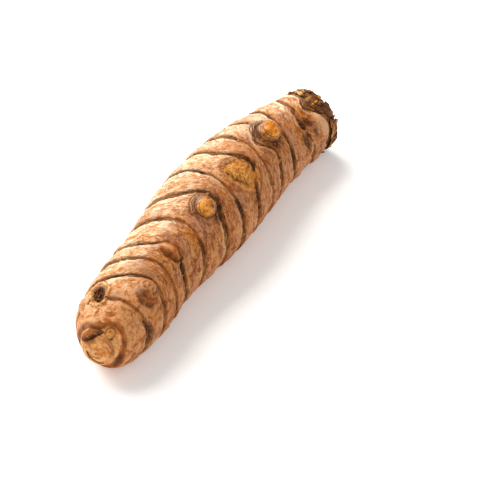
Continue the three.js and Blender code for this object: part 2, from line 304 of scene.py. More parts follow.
def lattice(x, y, z, seed):
    """A repeatable value from -1 to 1 at each point of a whole-number lattice."""
    h = (x * 374761393 + y * 668265263 + z * 1442695041 + seed * 974634777) & 0xFFFFFFFF
    h = ((h ^ (h >> 13)) * 1274126177) & 0xFFFFFFFF
    h = ((h ^ (h >> 15)) * 461845907) & 0xFFFFFFFF
    return (h ^ (h >> 16)) / 0x7FFFFFFF - 1


def noise(points, grain, seed):
    """Smooth noise from -1 to 1. Its grain is in millimetres, one number or one for each axis."""
    p = points / np.asarray(grain, float)
    cell = np.floor(p).astype(np.int64)
    f = p - cell
    f = f * f * (3 - 2 * f)
    total = np.zeros(p.shape[:-1])
    for corner in np.ndindex(2, 2, 2):
        weight = np.prod(np.where(np.array(corner, bool), f, 1 - f), axis=-1)
        at = cell + np.array(corner)
        total += weight * lattice(at[..., 0], at[..., 1], at[..., 2], SEED + seed)
    return total


def fractal(points, grain, seed, octaves=3):
    grain = np.asarray(grain, float)
    layers = [noise(points, grain / 2**k, seed + 7 * k) / 2**k for k in range(octaves)]
    return sum(layers) / 1.5


def ring_at(ring, angle):
    """Where a ring crosses the angle: two harmonics through its quarter points, and its swerve."""
    top, left, under, right, swerve = ring
    place = (top + left + under + right) / 4
    place = place + (top - under) / 2 * np.cos(angle) + (left - right) / 2 * np.sin(angle)
    place = place + (top + under - left - right) / 4 * np.cos(2 * angle)
    if swerve:
        centre, shift, spread = swerve
        place = place + shift * bell(from_angle(angle, centre), math.radians(spread))
    return place


def section_at(place, angle):
    oval = OVAL_SHARE * np.cos(2 * angle - place / OVAL_TURN)
    lobes = LOBE_SHARE * np.cos(3 * angle + place / LOBE_TURN)
    return 1 + oval + lobes


def round_the_root(stations, angle):
    """A value at the angle, from (degrees, value) stations that go once round from -180."""
    degrees, values = np.array(stations + [(180, stations[0][1])], float).T
    return np.interp(np.degrees(turn_between(angle, 0)), degrees, values)


def skin_point(place, angle, radius):
    side = radius * np.sin(angle)
    up = radius * np.cos(angle)
    return np.stack(
        [place - MIDDLE, through(BOW, place) + SIDE_SHIFT + side, through(RISE, place) + up],
        axis=-1,
    )


def offset(place, angle, at, degrees, turn=0):
    """Millimetres from a spot on the skin, along the root and round it, after a turn in degrees."""
    along = place - at
    around = from_angle(angle, degrees) * through(GIRTH, at)
    c, s = math.cos(math.radians(turn)), math.sin(math.radians(turn))
    return c * along + s * around, c * around - s * along


def along_rings(place, angle):
    """Distance along the root that stays the same all the way round each ring."""
    rings = [ring_at(ring, angle) for ring in RINGS]
    curves = [np.full_like(place, SHOULDER_START), *rings, np.full_like(place, LENGTH)]
    levels = [SHOULDER_START] + [sum(ring[:4]) / 4 for ring in RINGS] + [LENGTH]
    along = np.array(place)
    for near, far, low, high in zip(curves, curves[1:], levels, levels[1:]):
        share = (place - near) / (far - near)
        along = np.where((share >= 0) & (share < 1), mix(low, high, share), along)
    return along


def add_rings(place, angle, radius, masks, guide):
    """Steps the skin up at each ring, with the fibrous strip below it and the torn edge before."""
    torn = 0.7 * np.abs(noise(guide, (9, 1.1, 1.1), 41))
    torn = torn + 0.45 * np.abs(noise(guide, (9, 0.45, 0.45), 42))
    wander = 0.12 * noise(guide, 2.2, 40)
    broken = smoothstep(-0.5, 0.0, noise(guide, (9, 1.7, 1.7), 45))
    shade = smoothstep(0.5, 0.85, -np.sin(angle + 0.15))
    previous = np.full_like(place, SHOULDER_START)
    level = np.zeros_like(place)
    for ring, stations in zip(RINGS, STRIPS):
        curve = ring_at(ring, angle) + wander
        s = place - curve
        width = round_the_root(stations, angle) * (1 + 0.3 * noise(guide, 1.5, 43))
        width = width * mix(1, broken, 0.6 * shade)
        strength = smoothstep(0.15, 0.7, width)
        share = np.clip((place - previous) / (curve - previous), 0, 1)
        inside = (place >= previous) & (s < 0)
        near = inside & (s > -STRIP_REACH)
        bulge = INTERNODE_BULGE * np.sin(np.pi * share)
        folds = np.sin(2 * np.pi * s / 0.95 + 2.5 * noise(guide, 3, 44))
        folds = 0.05 * folds * bell(s + 1.6, 1.1)
        level = np.where(inside, STEP_HEIGHT * (0.5 - share) + bulge + folds, level)
        frayed = s + width + torn * strength
        floor = smoothstep(0, 0.14, frayed) * (s < 0)
        climb = np.clip((s + width) / np.maximum(width, 0.1), 0, 1)
        drop = mix(0.08, STRIP_DEPTH, strength) * floor
        lift = (STEP_HEIGHT * 0.7) * climb * floor
        level = np.where(near, level - drop + lift, level)
        level = level + np.where(inside, 0.12 * strength * bell(frayed + 0.16, 0.18), 0)
        level = level + mix(0.04, 0.14, strength) * bell(s - 0.18, 0.26) * (s >= 0)
        dark_edges = np.maximum(0.7 * bell(frayed - 0.1, 0.1), bell(s + 0.08, 0.11)) * (s < 0.12)
        dark_edges = dark_edges * strength * mix(0.75, 0.35, shade)
        masks["share"] = np.where(inside, share, masks["share"])
        mark(masks, "strip", np.where(near, floor * smoothstep(0.14, 0.4, width), 0))
        mark(masks, "shadow", np.where(s > -STRIP_REACH, dark_edges, 0))
        mark(masks, "line", bell(s + 0.02, 0.17) * (1 - strength))
        mark(masks, "line", 0.6 * bell(s - 0.2, 0.13) * strength)
        mark(masks, "edge", np.where(inside, strength * bell(frayed + 0.3, 0.3), 0))
        previous = curve
    level = np.where(place >= previous, level + STEP_HEIGHT / 2, level)
    ragged = 0.35 * noise(guide, (9, 0.7, 0.7), 46)
    masks["crown"] = smoothstep(-0.2, 0.2, place - previous + ragged)
    return radius + level


def add_scars(place, angle, radius, masks, guide):
    """The eye-like pit near the tip, the shoot scars and the small ringed scars."""
    rough = fractal(guide, 0.75, 51, 2)
    for at, degrees, along, around, turn, depth, dark, yellow in PITS:
        dx, dy = offset(place, angle, at, degrees, turn)
        reach = np.hypot(dx / along, dy / around) + 0.16 * noise(guide, 1.0, 52)
        reach = reach + 0.08 * noise(guide, 0.45, 56)
        for mask in ("strip", "line", "shadow"):
            masks[mask] = masks[mask] * smoothstep(1.2, 1.7, reach)
        hole = 1 - smoothstep(0.45, 0.95, reach)
        rim = bell(reach - 1.2, 0.2)
        radius = radius - depth * hole + 0.42 * rim + 0.75 * depth * rough * hole
        mark(masks, "pit", dark * (1 - smoothstep(0.75, 1.0, reach)))
        mark(masks, "rim", yellow * bell(reach - 1.2, 0.16))
        mark(masks, "line", dark * bell(reach - 1.0, 0.07))
        mark(masks, "line", dark * bell(reach - 1.42, 0.07) * smoothstep(-0.5, 0.2, rough))
    for at, degrees, along, around, turn, depth in SCARS:
        dx, dy = offset(place, angle, at, degrees, turn)
        reach = np.hypot(dx / along, dy / around) + 0.1 * noise(guide, 1.6, 53)
        scar = 1 - smoothstep(0.8, 1.04, reach)
        radius = radius - depth * (1 - smoothstep(0.5, 1.0, reach)) + 0.14 * bell(reach - 1.06, 0.1)
        radius = radius + 0.15 * rough * scar
        bar = bell(dx + 2.5 - 0.06 * (dy - 1) ** 2, 0.6) * smoothstep(3.5, 2.4, np.abs(dy - 0.8))
        curl = bell(np.hypot(dx + 1.1, dy - 0.9) - 0.7, 0.27)
        curl = curl * smoothstep(-0.8, 0.4, dx + 1.1 - dy + 0.9)
        streak = np.maximum(bar, 0.9 * curl) * scar
        upper = bell(reach - 0.78, 0.08) * smoothstep(0.1, 0.6, (dx + dy) / around) * 0.8
        broken = smoothstep(-0.6, 0.0, rough + 0.2 * noise(guide, 0.5, 54))
        streak = np.clip((streak + upper) * broken, 0, 1)
        radius = radius - 0.2 * streak
        mark(masks, "scar", scar)
        mark(masks, "pit", 0.9 * streak)
        mark(masks, "line", 0.7 * bell(reach - 1.0, 0.05))
    return radius


def add_swellings(place, angle, radius, masks, guide):
    """Buds that the skin still covers: the snail-like dome, the flat one and the soft bulges."""
    dx, dy = offset(place, angle, *DOME_AT)
    reach = np.hypot(dx, dy) / DOME_RADIUS
    around = np.arctan2(dy, dx)
    dome = np.clip(1 - reach**2, 0, 1) ** 0.8
    spiral = DOME_LAYERS * np.hypot(dx - DOME_MIDDLE[0], dy - DOME_MIDDLE[1]) - 0.16 * around
    layer = np.mod(spiral + 0.05 * noise(guide, 1.0, 55), 1.0)
    terrace = smoothstep(1.0, 0.7, layer) * smoothstep(0, 0.4, layer)
    facing = 0.5 - 0.5 * np.cos(around - math.radians(50))
    crescent = bell(reach - 0.98, 0.08) * facing
    radius = radius + DOME_HEIGHT * dome + 0.42 * terrace * smoothstep(1.0, 0.85, reach)
    radius = radius - 0.4 * crescent
    cover = smoothstep(1.08, 0.9, reach)
    outer = smoothstep(0.3, 0.65, reach)
    # The dome's brown is partly its own colour and partly painted shade, stronger on the side turned
    # from the light.
    mark(masks, "bud", cover * np.clip(0.6 + 0.7 * facing, 0, 1) * mix(0.3, 1, outer))
    seam = np.maximum(smoothstep(0.66, 0.9, layer), smoothstep(0.12, 0, layer)) * cover
    mark(masks, "line", seam * mix(0.6, 1, facing))
    mark(masks, "shadow", np.maximum(0.8 * crescent, 0.4 * seam * facing))
    # Painted highlights on the layers, on the side towards the light.
    lit = 1 - 0.75 * facing * outer
    mark(masks, "edge", 0.7 * cover * bell(layer - 0.35, 0.2) * lit)

    dx, dy = offset(place, angle, *WEDGE_AT)
    half = WEDGE_HALF_WIDTH * np.sqrt(np.clip(1 - (dy / WEDGE_HALF_LENGTH) ** 2, 0, 1))
    inner = np.clip((dx + half) / np.maximum(2 * half, 0.05), 0, 1)
    body = smoothstep(0.0, 0.8, half)
    ridge = smoothstep(0, 0.3, inner) * (1 - 0.55 * smoothstep(0.35, 1, inner))
    ridge = ridge * mix(1, 0.55, smoothstep(0, -3.5, dy))
    radius = radius + WEDGE_HEIGHT * ridge * body * (np.abs(dx) <= half + 0.3)
    body = body * (inner > 0) * (inner < 1)
    # Painted shade: the bud's brown is stronger on its lower-left facet, which is turned from the
    # light.
    mark(masks, "bud", body * mix(0.5, 1, smoothstep(0.45, 0.15, inner)))
    # A painted highlight along the bud's upper edge.
    lit = bell(inner - 0.6, 0.22) * smoothstep(-0.2, 1.4, dy)
    mark(masks, "edge", body * lit)
    mark(masks, "rust", 0.55 * body)
    outline = np.maximum(bell(inner - 0.06, 0.12), bell(inner - 0.97, 0.06))
    mark(masks, "line", outline * body)
    mark(masks, "shadow", 0.6 * bell(inner - 0.03, 0.07) * body)
    crease = bell(dx + half + 0.1, 0.24) * smoothstep(0.1, 0.9, half)
    radius = radius - 0.25 * crease
    mark(masks, "shadow", crease * smoothstep(3.4, 1.4, np.abs(dy)))

    for at, degrees, along, around, height in BULGES:
        dx, dy = offset(place, angle, at, degrees)
        reach = np.hypot(dx / along, dy / around)
        radius = radius + height * (1 - smoothstep(0.25, 1.2, reach))
        # A painted highlight on the top of each bulge.
        mark(masks, "edge", 0.75 * (1 - smoothstep(0.2, 0.7, reach)))
    return radius


def add_bud_beds(place, angle, radius, masks, guide):
    """The ground round each knob: scales wrapped round one side, a crusty crevice on the other."""
    for _, at, degrees, collar, share, _, _, wrapped, crevice, _ in KNOBS:
        dx, dy = offset(place, angle, at, degrees)
        reach = np.hypot(dx, dy) / collar + 0.05 * noise(guide, 1.3, 61)
        around = np.arctan2(dy, dx)
        wrap = smoothstep(-0.1, 0.75, np.cos(around - math.radians(wrapped)))
        open_side = smoothstep(0.0, 0.8, np.cos(around - math.radians(crevice)))
        for edge, size in ((1.14, 0.26), (0.99, 0.3), (0.85, 0.2)):
            scale = smoothstep(edge + 0.02, edge - 0.06, reach)
            radius = radius + size * mix(0.45, 1.0, wrap) * scale
            seam = bell(reach - edge - 0.03, 0.06) * mix(0.5, 1, wrap)
            mark(masks, "line", seam)
            mark(masks, "shadow", 0.9 * bell(reach - edge - 0.04, 0.04) * wrap)
            mark(masks, "edge", 0.8 * bell(reach - edge + 0.07, 0.05) * wrap)
        hollow = smoothstep(0.2, 0.9, np.cos(around - math.radians(wrapped + 35)))
        hollow = hollow * bell(reach - share - 0.1, 0.13)
        gap = np.maximum(bell(reach - share - 0.04, 0.08) * mix(0.6, 1, open_side), hollow)
        crust = open_side * bell(reach - share - 0.27, 0.2)
        rough = noise(guide, 0.55, 62)
        radius = radius - 0.5 * gap - 0.3 * crust + 0.32 * crust * rough
        mark(masks, "shadow", gap)
        mark(masks, "pit", crust * smoothstep(-0.7, 0.1, rough))
    return radius


def add_tip(place, angle, radius, masks, guide):
    """At the tip: the shoulder's edge round the stub, a root disc and tears along the skin."""
    tuck = TIP_TUCK * smoothstep(7.5, 3.2, place)
    radius = radius - tuck * bell(from_angle(angle, TUCK_ANGLE), math.radians(TUCK_SPREAD))
    s = place - round_the_root(COLLAR[:-1], angle) - 0.1 * noise(guide, 1.6, 65)
    foot = STUB_FOOT_RADIUS + STUB_FOOT_SPREAD * (place - SHOULDER_START)
    radius = radius + COLLAR_STEP * smoothstep(2.8, 0.3, s)
    radius = mix(radius, np.minimum(radius, foot), smoothstep(0.12, -0.14, s))
    mark(masks, "stub", smoothstep(0.05, -0.1, s))
    worn = smoothstep(-0.7, 0.1, noise(guide, 1.3, 66))
    browned = mix(0.15, 1, smoothstep(math.radians(12), math.radians(-8), from_angle(angle, 0)))
    band = smoothstep(0.5, 0.38, s + 0.12 * noise(guide, 0.6, 68)) * smoothstep(-0.1, 0.0, s)
    mark(masks, "bud", browned * band)
    mark(masks, "line", mix(0.5, 1, browned) * bell(s - 0.02, 0.12))
    mark(masks, "shadow", 0.6 * bell(s + 0.05, 0.07) * worn)

    dx, dy = place - DISC_AT, from_angle(angle, DISC_ANGLE) * DISC_SHOULDER
    reach = np.hypot(dx, dy) / DISC_RADIUS
    radius = radius + 0.3 * (1 - smoothstep(0.6, 1.0, reach)) - 0.18 * bell(reach - 1.1, 0.2)
    mark(masks, "scar", 0.7 * smoothstep(1.1, 0.8, reach))
    mark(masks, "line", bell(reach - 1.1, 0.16))
    mark(masks, "pit", 0.9 * bell(np.hypot(dx + 0.5, dy + 1.2), 0.33))

    tears = smoothstep(16, 11, place) * smoothstep(0.75, 0.98, -np.sin(angle))
    return radius + 0.1 * tears * noise(guide, (3.5, 0.55, 0.55), 67)


def add_patches(place, angle, masks, guide):
    """Patches of rust, mauve and dark root remains, and painted highlights, with ragged outlines."""
    ragged = 0.35 * noise(guide, 1.3, 81) + 0.2 * noise(guide, 0.5, 82)
    # PAINTED_HIGHLIGHTS go into the edge mask as painted highlights.
    for name, patches in (("rust", RUST), ("mauve", MAUVE), ("edge", PAINTED_HIGHLIGHTS), ("dark", CRUST)):
        for at, degrees, along, around, turn, strength in patches:
            dx, dy = offset(place, angle, at, degrees, turn)
            reach = np.hypot(dx / along, dy / around) + ragged
            mark(masks, name, strength * smoothstep(1.2, 0.55, reach))
    for number, degrees, along, around, strength in DARK:
        ring = RINGS[number - 1]
        dy = from_angle(angle, degrees) * through(GIRTH, ring[0])
        reach = np.hypot((place - ring_at(ring, angle) + 0.4) / along, dy / around) + 1.6 * ragged
        mark(masks, "dark", strength * smoothstep(1.1, 0.5, reach))


def relief(place, angle):
    """The finished skin's radius at places and angles, and the masks for its material."""
    masks = {name: np.zeros_like(place) for name in (*MASKS, "share")}
    radius = through(GIRTH, place) * section_at(place, angle)
    guide = skin_point(place, angle, radius)
    guide[..., 0] = along_rings(place, angle)
    masks["along"] = guide[..., 0]
    for add in (add_rings, add_scars, add_swellings, add_bud_beds, add_tip):
        radius = add(place, angle, radius, masks, guide)
    add_patches(place, angle, masks, guide)
    # pale: painted light on the side that faces the key light (the +Y side and top, more so towards
    # the far end and the far part of each internode), where the skin takes paler lit copies of its
    # colours.
    side = np.sin(angle + 0.1) + 0.15 * noise(guide, 4.0, 85)
    pale = smoothstep(-0.4, 0.3, side) * smoothstep(0.0, 0.75, np.cos(angle - 0.35))
    pale = pale * smoothstep(-8, 26, place)
    masks["pale"] = pale * mix(0.65, 1, smoothstep(0.1, 0.6, masks["share"]))
    return radius, masks


def skin_rows(angle):
    """Places along the root by row and column: close together at each ring, wider between."""
    collar = round_the_root(COLLAR[:-1], angle)
    edges = [np.full(COLUMNS, SHOULDER_START), collar] + [ring_at(ring, angle) for ring in RINGS]
    weights = []
    for start, end in zip(edges, edges[1:]):
        length = (end - start).mean()
        s = np.linspace(0, length, 200)
        crowding = 1 + 1.4 * smoothstep(2.6, 1.4, length - s) + 0.8 * smoothstep(0.9, 0.3, s)
        weights.append((s / length, np.cumsum(crowding) * length / len(s)))
    total = sum(weight[-1] for _, weight in weights)
    rows = []
    for start, end, (share, weight) in zip(edges, edges[1:], weights):
        count = max(int(round(SKIN_GRID_ROWS * weight[-1] / total)), FEWEST_ROWS)
        shares = np.interp(np.linspace(0, weight[-1], count, endpoint=False), weight, share)
        rows.extend(mix(start, end, s) for s in shares)
    return np.array(rows), edges[-1]


def stub_rows(angle):
    """The stub from just beside its pole to the shoulder's start, as place and radius."""
    index = np.arange(len(STUB))
    t = np.linspace(0.35, len(STUB) - 1.2, STUB_ROWS)
    place = through(list(zip(index, [p for p, _ in STUB])), t)
    radius = through(list(zip(index, [r for _, r in STUB])), t)
    ones = np.ones_like(angle)
    return place[:, None] * ones, radius[:, None] * ones


def stub_masks(place, radius, angle):
    """The dark line round the lower edge of the stub's face, the marks on it and its small pits."""
    masks = {name: np.zeros_like(place) for name in MASKS}
    masks["along"] = place
    masks["stub"] = np.ones_like(place)
    y, z = radius * np.sin(angle), radius * np.cos(angle)

    def reach(centre):
        return np.hypot(y - centre[0], z - centre[1])

    ring = reach(STUB_RING)
    downward = (0.5 * (y - STUB_RING[0]) - 0.87 * (z - STUB_RING[1])) / ring
    on_ring = bell(ring - STUB_RING_RADIUS, 0.34)
    crescent = on_ring * smoothstep(0.45, 0.8, downward)
    curl = bell(reach(STUB_CURL) - STUB_CURL_RADIUS, 0.16)
    curl = curl * smoothstep(0.4, 0.8, -(z - STUB_CURL[1]))
    dot = bell(reach(STUB_DOT), 0.26)
    masks["pit"] = np.maximum(np.clip(1.4 * crescent, 0, 1), 0.85 * np.maximum(curl, dot))
    masks["line"] = 0.6 * on_ring * smoothstep(0.2, -0.3, downward)
    masks["rust"] = 0.7 * bell(reach(STUB_RUST), 0.9)
    return masks


def cap_at(out, inward, angle, start):
    """Place and radius on the cap, from its shares out to the far end and in to the rim."""
    slant = (FACE_SLANT / 2) * (1 - inward * np.sin(angle + math.radians(FACE_TURN)))
    rim = through(GIRTH, start) * section_at(start, angle) + STEP_HEIGHT / 2
    return mix(start, LENGTH - slant, out), rim * inward


def cap_rows(angle, start):
    """The cap from the last ring almost to the far pole: place, radius and share in to the rim."""
    sweep = np.linspace(0, np.pi / 2, 400)
    out = np.sin(sweep) ** (2 / CAP_SQUARENESS)
    inward = np.cos(sweep) ** (2 / CAP_SQUARENESS)
    steps = np.hypot(np.diff(out) * CAP_DEPTH, np.diff(inward) * CAP_RADIUS)
    travel = np.concatenate([[0], np.cumsum(steps)])
    at = np.linspace(0, travel[-1], CAP_ROWS)[1:-1]
    out = np.interp(at, travel, out)[:, None]
    inward = np.interp(at, travel, inward)[:, None]
    place, radius = cap_at(out, inward, angle, start)
    return place, radius, inward * np.ones_like(angle)


def grid_normals(points):
    """Outward normals of a grid of points that closes round its second axis."""
    along = np.gradient(points, axis=0)
    around = (np.roll(points, -1, axis=1) - np.roll(points, 1, axis=1)) / 2
    normal = np.cross(along, around)
    return normal / np.maximum(np.linalg.norm(normal, axis=-1, keepdims=True), 1e-9)


def skin_surface():
    """The whole skin as a grid of points, and the masks that its material reads."""
    angle = np.linspace(0, 2 * np.pi, COLUMNS, endpoint=False)
    place, last_ring = skin_rows(angle)
    radius, masks = relief(place, np.broadcast_to(angle, place.shape))

    near_place, near_radius = stub_rows(angle)
    near_masks = stub_masks(near_place, near_radius, angle)
    near_place = near_place + STUB_MARK_DEPTH * near_masks["pit"]
    far_place, far_radius, inward = cap_rows(angle, last_ring)
    far_masks = {name: np.zeros_like(far_place) for name in MASKS}
    far_masks["along"] = far_place
    far_masks["crown"] = np.ones_like(far_place)
    far_masks["face"] = smoothstep(0.93, 0.8, inward)
    far_masks["line"] = bell(inward - 0.55, 0.05) * far_masks["face"]
    far_masks["rust"] = smoothstep(0.5, 0.3, inward)

    place = np.concatenate([near_place, place, far_place])
    radius = np.concatenate([near_radius, radius, far_radius])
    parts = (near_masks, masks, far_masks)
    masks = {name: np.concatenate([part[name] for part in parts]) for name in MASKS}
    points = skin_point(place, np.broadcast_to(angle, place.shape), radius)
    return roughen(points, masks), masks


def roughen(points, masks):
    """Moves the points along their normals by fine relief: dents, wrinkles, fibres and crust."""
    normal = grid_normals(points)
    guide = np.concatenate([masks["along"][..., None], points[..., 1:]], axis=-1)
    calm = 1 - np.clip(masks["face"] + masks["crown"], 0, 1)
    dents = 0.15 * noise(guide, (4.5, 3.5, 3.5), 71) + 0.1 * noise(guide, (1.9, 2.6, 2.6), 72)
    wrinkles = 0.11 * noise(guide, (1.0, 2.4, 2.4), 73) + 0.05 * noise(guide, (0.5, 1.0, 1.0), 74)
    creases = smoothstep(0.2, 0.0, np.abs(noise(guide, (1.6, 2.6, 2.6), 86)))
    flaking = noise(guide, (1.3, 1.9, 1.9), 83)
    soft = mix(0.3, 1, smoothstep(9, 20, masks["along"]))
    paper = smoothstep(0.05, 0.14, flaking) + smoothstep(0.4, 0.48, flaking)
    paper = 0.06 * paper - 0.06 * creases
    fibres = 0.07 * noise(guide, (0.3, 1.6, 1.6), 75) * masks["strip"]
    crumbs = 0.12 * noise(guide, 0.6, 84) * np.clip(masks["dark"] + 0.5 * masks["rust"], 0, 1)
    crust = 0.4 * fractal(guide, (1.2, 2.2, 2.2), 76) + 0.2 * noise(guide, 0.55, 77)
    crust = masks["crown"] * crust
    face = masks["face"] * (0.4 * fractal(points, 1.6, 78) + 0.25 * noise(points, 0.5, 79))
    lift = calm * (dents + soft * (wrinkles + paper) + crumbs) + fibres
    lift = lift + crust * (1 - masks["face"]) + face
    moved = points + normal * lift[..., None]
    moved[..., 2] = np.maximum(moved[..., 2], 0)
    return moved


def make_mesh(name, points, faces):
    """A smooth-shaded mesh object from points in millimetres."""
    mesh = bpy.data.meshes.new(name)
    mesh.from_pydata((np.asarray(points) * MM).tolist(), [], faces)
    mesh.polygons.foreach_set("use_smooth", [True] * len(mesh.polygons))
    piece = bpy.data.objects.new(name, mesh)
    bpy.context.scene.collection.objects.link(piece)
    return piece


def set_mask(piece, name, values):
    layer = piece.data.attributes.new(name, "FLOAT", "POINT")
    layer.data.foreach_set("value", np.ascontiguousarray(values, np.float32))


def set_grid_masks(piece, masks):
    """Masks of a closed grid, whose poles take the mean of the ring beside them."""
    for name, values in masks.items():
        ends = [values[0].mean(), values[-1].mean()]
        set_mask(piece, name, np.concatenate([values.ravel(), ends]))


def closed_grid(points, first=0):
    """Points and faces of a closed surface from a grid of rings, with a pole at each end."""
    rows, columns = points.shape[:2]
    poles = [points[0].mean(axis=0), points[-1].mean(axis=0)]
    flat = np.concatenate([points.reshape(-1, 3), poles])
    cell = first + np.arange(rows * columns).reshape(rows, columns)
    following = np.roll(cell, -1, axis=1)
    quads = np.stack([cell[:-1], cell[1:], following[1:], following[:-1]], axis=-1).reshape(-1, 4)
    near, far = first + rows * columns, first + rows * columns + 1
    faces = quads.tolist()
    faces += [(near, a, b) for a, b in zip(cell[0].tolist(), following[0].tolist())]
    faces += [(far, b, a) for a, b in zip(cell[-1].tolist(), following[-1].tolist())]
    return flat, faces


def make_skin():
    points, masks = skin_surface()
    flat, faces = closed_grid(points)
    piece = make_mesh("root_skin", flat, faces)
    set_grid_masks(piece, masks)
    return piece


def knob_surface(collar, share, height, wrapped, seed):
    """A bud's knob as a grid: scale edges step up to a rounded tip. Its foot is under the skin."""
    around = np.linspace(0, 2 * np.pi, KNOB_COLUMNS, endpoint=False)
    knob = collar * share
    foot = np.linspace(-KNOB_FOOT_DEPTH, 0, KNOB_FOOT_ROWS, endpoint=False)
    level = np.concatenate([foot, np.linspace(0, 1, KNOB_ROWS)])[:, None]
    up = np.clip(level, 0, 1)
    sweep = up * np.pi / 2
    radius = knob * np.cos(sweep * 0.985) ** 0.72
    rise = np.where(level < 0, level, height * np.sin(sweep) ** 0.95)
    unit = np.stack([np.cos(around), np.sin(around)], axis=-1)[None] * np.ones((len(level), 1, 1))
    tall = np.broadcast_to(rise[..., None], unit.shape[:2] + (1,))
    guide = np.concatenate([unit * radius[..., None], tall], axis=-1)
    wander = 0.06 * noise(guide, 1.5, seed) + 0.02 * noise(guide, 0.5, seed + 3)
    facing = np.cos(around - math.radians(wrapped + 180))
    scales = np.zeros_like(guide[..., 0])
    seams = np.zeros_like(scales)
    for edge, size in ((0.18, 0.16), (0.45, 0.16)):
        s = up + wander - edge - 0.16 * facing
        scales = scales + size * (1 - smoothstep(-0.01, 0.03, s)) * smoothstep(-0.22, 0, s)
        seams = np.maximum(seams, bell(s - 0.02, 0.022))
    lumps = 0.12 * noise(guide, 1.3, seed + 1) + 0.06 * noise(guide, 0.45, seed + 2)
    spread = radius * (1 + (scales + lumps) / knob)
    points = np.concatenate([unit * spread[..., None], guide[..., 2:]], axis=-1)
    points[..., 2] += lumps * up
    bare = smoothstep(0.0, 0.12, up + wander - 0.32 - 0.2 * facing)
    masks = {"height": np.broadcast_to(up, seams.shape), "seam": seams, "bare": bare}
    return points[::-1], {name: values[::-1] for name, values in masks.items()}


def outward_frame(degrees, lean):
    """Axes of a bud at that angle, as columns: to the tip, to -Y over the top, and outward."""
    around = math.radians(degrees)
    out = Vector((-lean, math.sin(around), math.cos(around))).normalized()
    side = Vector((1, 0, 0)).cross(out).normalized()
    return np.array([side.cross(out), side, out]).T


def make_knob(index, row):
    name, at, degrees, collar, share, height, lean, wrapped, _, orange = row
    points, masks = knob_surface(collar, share, height, wrapped, 90 + 5 * index)
    place, angle = np.array(float(at)), np.array(math.radians(degrees))
    foot = skin_point(place, angle, through(GIRTH, place) * section_at(place, angle))
    flat, faces = closed_grid(points)
    piece = make_mesh(name, flat @ outward_frame(degrees, lean).T + foot, faces)
    set_grid_masks(piece, masks)
    set_mask(piece, "orange", np.full(len(flat), orange))
    spot = np.hypot(flat[:, 0] + 0.3 * collar, flat[:, 1] - 0.36 * collar)
    set_mask(piece, "spot", bell(spot, 0.12 * collar) * (flat[:, 2] > 0))
    return piece


def square_to_path(path, hint):
    """Unit directions along a path, and the ones square to it that are nearest to the hint."""
    along = np.gradient(path, axis=0)
    along /= np.linalg.norm(along, axis=1, keepdims=True)
    square = hint - along * (hint * along).sum(axis=1, keepdims=True)
    return along, square / np.linalg.norm(square, axis=1, keepdims=True)


class Strands:
    """Many small closed strips, flat for flakes and round for fibres, gathered into one mesh."""

    COLUMNS = 8

    def __init__(self):
        self.waiting = []
        self.points = []
        self.faces = []
        self.tones = []
        self.count = 0

    def lay(self, places, angles, lifts, across, half_width, half_thickness, tone, shift=0.0):
        """Keeps a strip that is to lie on the skin, raised by lifts and moved along by shift."""
        flat = np.zeros_like(places)
        self.waiting.append((places + flat, angles + flat, lifts + flat, shift + flat))
        self.tones.append((across, half_width, half_thickness, tone))

    def lay_all(self):
        """Lays the kept strips on the skin in one go."""
        places, angles, lifts, shifts = np.array(self.waiting).transpose(1, 0, 2)
        radius, _ = relief(places, angles)
        paths = skin_point(places, angles, radius + lifts)
        paths[..., 0] += shifts
        kept, self.tones = self.tones, []
        for path, angle, (across, half_width, half_thickness, tone) in zip(paths, angles, kept):
            side = around_at(angle) if across is None else np.tile(across, (len(path), 1))
            self.add(path, side, half_width, half_thickness, tone)

    def add(self, path, across, half_width, half_thickness, tone):
        """A strip along the path, as wide as half_width says at each of its points."""
        along, side = square_to_path(path, across)
        out = np.cross(side, along)
        turn = np.linspace(0, 2 * np.pi, self.COLUMNS, endpoint=False)[None, :, None]
        wide = np.cos(turn) * side[:, None] * half_width[:, None, None]
        thick = np.sin(turn) * out[:, None] * half_thickness[:, None, None]
        grid = path[:, None] + wide + thick
        grid[..., 2] = np.maximum(grid[..., 2], 0.01)
        flat, faces = closed_grid(grid, self.count)
        self.points.append(flat)
        self.faces.extend(faces)
        self.tones.append(np.full(len(flat), tone))
        self.count += len(flat)

    def make(self, name):
        piece = make_mesh(name, np.concatenate(self.points), self.faces)
        set_mask(piece, "tone", np.concatenate(self.tones))
        return piece


def around_at(angle):
    """Unit directions round the root at those angles."""
    return np.stack([np.zeros_like(angle), np.cos(angle), -np.sin(angle)], axis=-1)


def taper(count, start, blunt):
    """Widths along a strip, from its start's share of the full width to a point."""
    t = np.linspace(0, 1, count)
    return mix(start, 1, np.sin(np.pi * np.clip(t * 1.4, 0, 0.5))) * (1 - t**blunt) + 0.04


